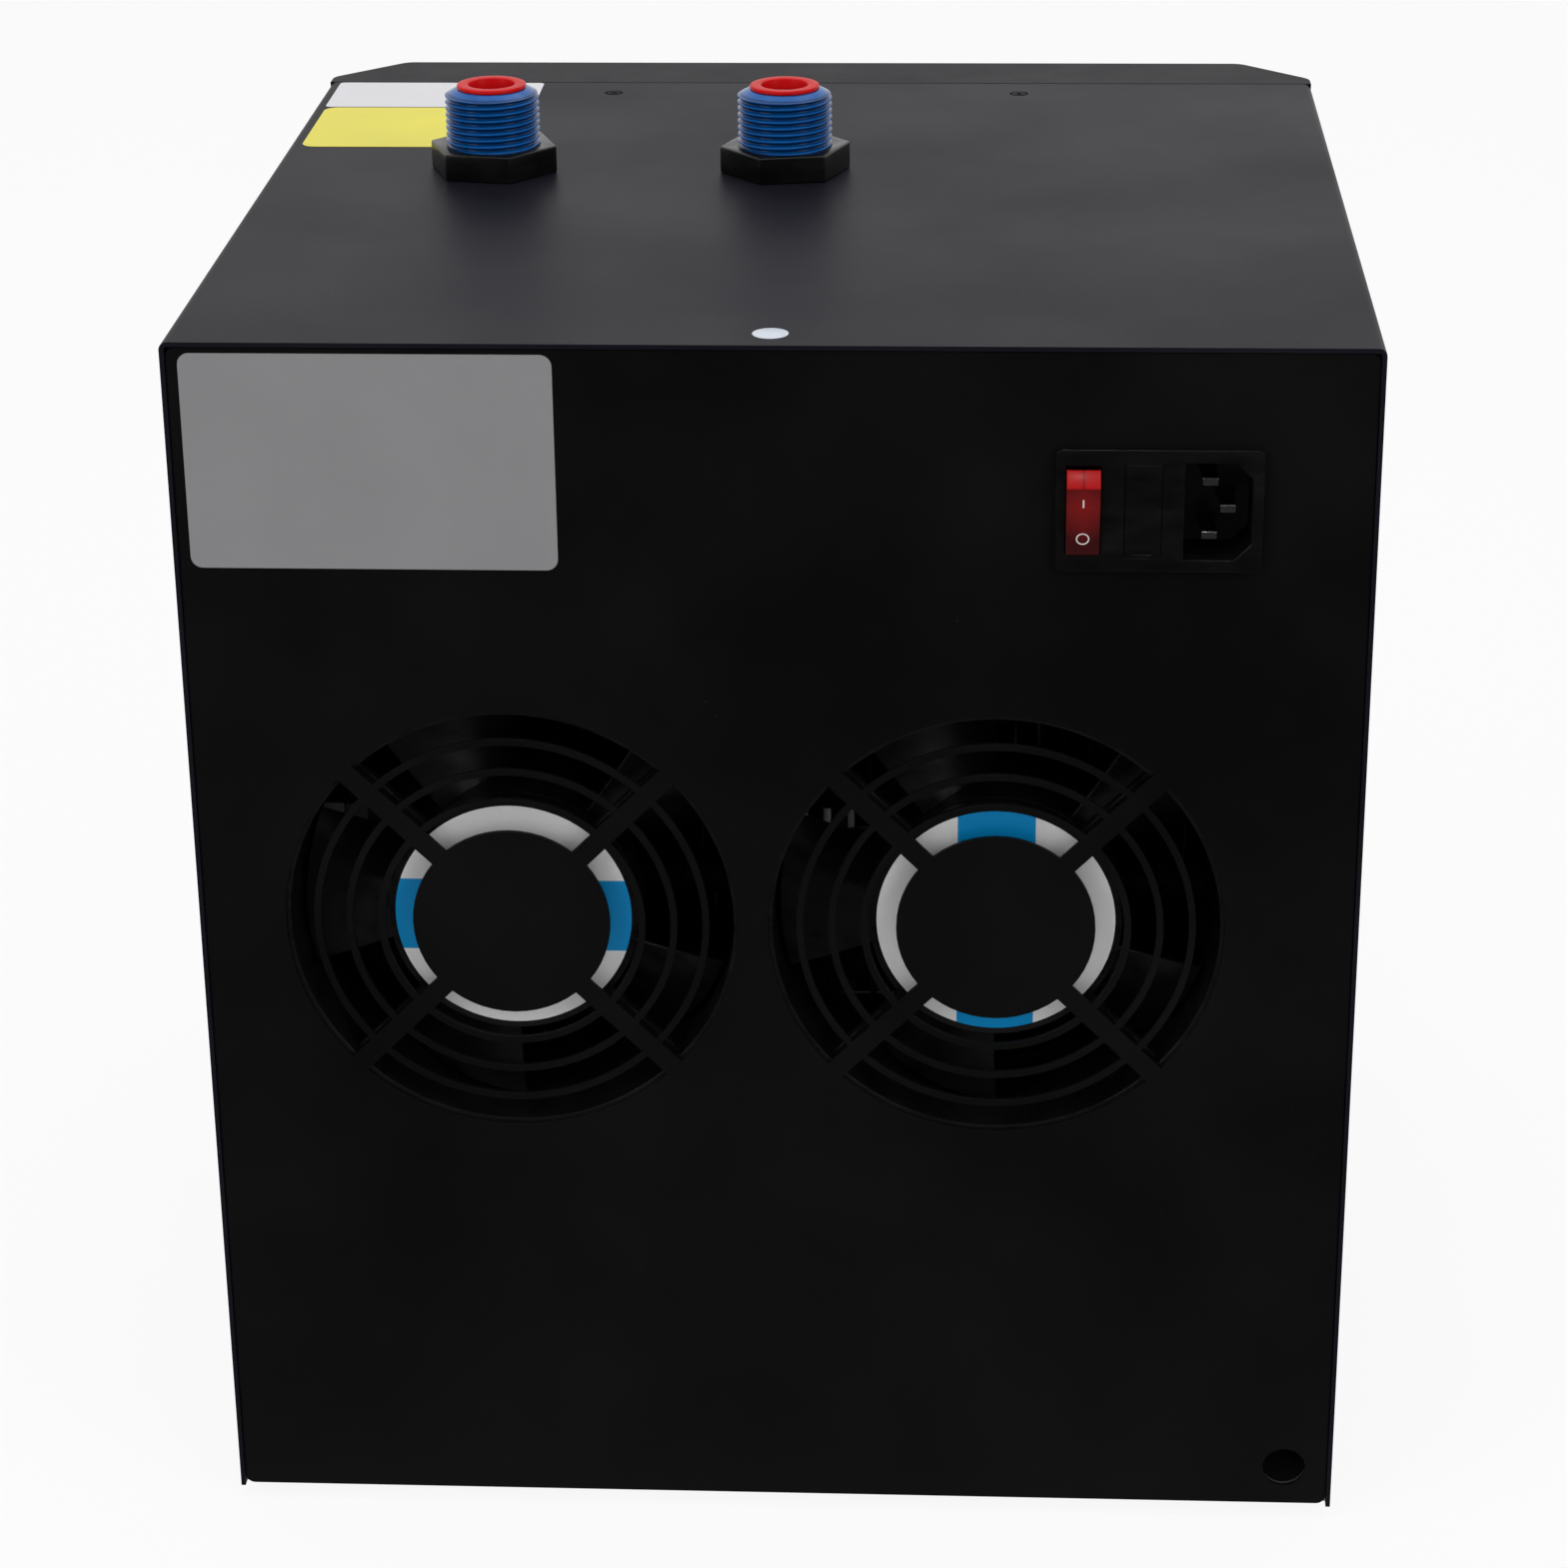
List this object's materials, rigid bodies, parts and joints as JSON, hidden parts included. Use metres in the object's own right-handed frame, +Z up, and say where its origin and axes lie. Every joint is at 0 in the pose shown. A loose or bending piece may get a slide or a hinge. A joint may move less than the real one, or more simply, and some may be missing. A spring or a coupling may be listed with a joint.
{
  "type": "ice bath chiller",
  "caption": "Boxy water chiller with a folded steel cover, round fan grilles and mains inlet at the rear, capped threaded water ports on top and a louvred front.",
  "frame": {"origin": "middle of the chiller's bounding box in X and Y, at the floor under its feet", "axes": "+Z up along the water ports, -Y out of the louvred front, +Y out of the rear panel with its fan grilles and mains inlet, +X to the right of a viewer who faces the front"},
  "size_m": [0.3, 0.3092, 0.3577],
  "materials": {
    "steel_black": "satin black powder coat on sheet steel",
    "panel_black": "matt black powder coat on sheet steel",
    "galvanised": "galvanised sheet steel",
    "moulding": "fine grained black plastic",
    "rubber": "soft black rubber",
    "screw": "black oxide steel",
    "fan_plastic": "black glass-filled plastic",
    "core": "laminated core with copper windings",
    "fin": "black dip coat on aluminium fins and copper tubes",
    "copper": "bright copper tube",
    "can": "black enamel on steel",
    "vessel": "off-white plastic",
    "foam": "black closed-cell foam",
    "titanium": "drawn titanium tube",
    "band": "stainless steel strip",
    "port_blue": "blue moulded plastic",
    "nut_black": "black moulded plastic",
    "plug_red": "red moulded plastic",
    "inlet_black": "black moulded plastic",
    "pin": "plated contact blades",
    "rocker_red": "red clear-backed plastic",
    "fuse_glass": "glass tube with plated caps",
    "board": "green circuit board",
    "post": "natural nylon",
    "window": "dark smoked plastic",
    "button": "black plastic"
  },
  "bodies": {
    "case": {"outer_cover": "steel_black", "rear_panel": "panel_black", "base_tray": "galvanised", "front_frame": "galvanised", "front_panel": "moulding", "rubber_feet": "rubber", "cover_screws": "screw", "fan_frame_left": "fan_plastic", "fan_frame_right": "fan_plastic", "fan_stators": "core", "fan_shroud": "panel_black", "condenser_fins": "fin", "condenser_plates": "fin", "condenser_tubes": "fin", "compressor_shell": "can", "compressor_feet": "rubber", "compressor_bolts": "band", "terminal_cover": "nut_black", "accumulator": "can", "exchanger_barrel": "vessel", "exchanger_cap": "vessel", "exchanger_jacket": "foam", "exchanger_coil": "titanium", "water_hoses": "rubber", "hose_clamps": "band", "port_nipple_left": "port_blue", "port_nipple_right": "port_blue", "port_nut_left": "nut_black", "port_nut_right": "nut_black", "port_gaskets": "rubber", "discharge_pipe": "copper", "suction_pipe": "copper", "liquid_line": "copper", "filter_drier": "copper", "capillary_coil": "copper", "inlet_housing": "inlet_black", "inlet_pins": "pin", "power_board": "board", "board_posts": "post", "display_window": "window", "display_board": "board"},
    "fan_rotor_left": {"fan_rotor_left": "fan_plastic"},
    "fan_rotor_right": {"fan_rotor_right": "fan_plastic"},
    "rocker": {"rocker": "rocker_red"},
    "fuse_drawer": {"fuse_drawer": "inlet_black", "fuse": "fuse_glass"},
    "port_plug_left": {"port_plug_left": "plug_red"},
    "port_plug_right": {"port_plug_right": "plug_red"},
    "button_power": {"button_power": "button"},
    "button_mode": {"button_mode": "button"},
    "button_up": {"button_up": "button"},
    "button_down": {"button_down": "button"}
  },
  "joints": [
    {"name": "fan_spin_left", "type": "hinge", "parent": "case", "child": "fan_rotor_left", "pos_m": [0.06855, 0.12795, 0.1771], "axis": [0, 1, 0], "continuous": true},
    {"name": "fan_spin_right", "type": "hinge", "parent": "case", "child": "fan_rotor_right", "pos_m": [-0.05695, 0.12795, 0.1771], "axis": [0, 1, 0], "continuous": true},
    {"name": "rocker_tilt", "type": "hinge", "parent": "case", "child": "rocker", "pos_m": [-0.07725, 0.14395, 0.2917], "axis": [1, 0, 0], "range_deg": [0, 28]},
    {"name": "fuse_drawer_slide", "type": "slide", "parent": "case", "child": "fuse_drawer", "axis": [0, 1, 0], "range_m": [0, 0.014]},
    {"name": "plug_pull_left", "type": "slide", "parent": "case", "child": "port_plug_left", "axis": [0, 0, 1], "range_m": [0, 0.02]},
    {"name": "plug_pull_right", "type": "slide", "parent": "case", "child": "port_plug_right", "axis": [0, 0, 1], "range_m": [0, 0.02]},
    {"name": "press_power", "type": "slide", "parent": "case", "child": "button_power", "axis": [0, 1, 0], "range_m": [0, 0.0012], "stiffness_N_per_m": 300},
    {"name": "press_mode", "type": "slide", "parent": "case", "child": "button_mode", "axis": [0, 1, 0], "range_m": [0, 0.0012], "stiffness_N_per_m": 300},
    {"name": "press_up", "type": "slide", "parent": "case", "child": "button_up", "axis": [0, 1, 0], "range_m": [0, 0.0012], "stiffness_N_per_m": 300},
    {"name": "press_down", "type": "slide", "parent": "case", "child": "button_down", "axis": [0, 1, 0], "range_m": [0, 0.0012], "stiffness_N_per_m": 300}
  ]
}
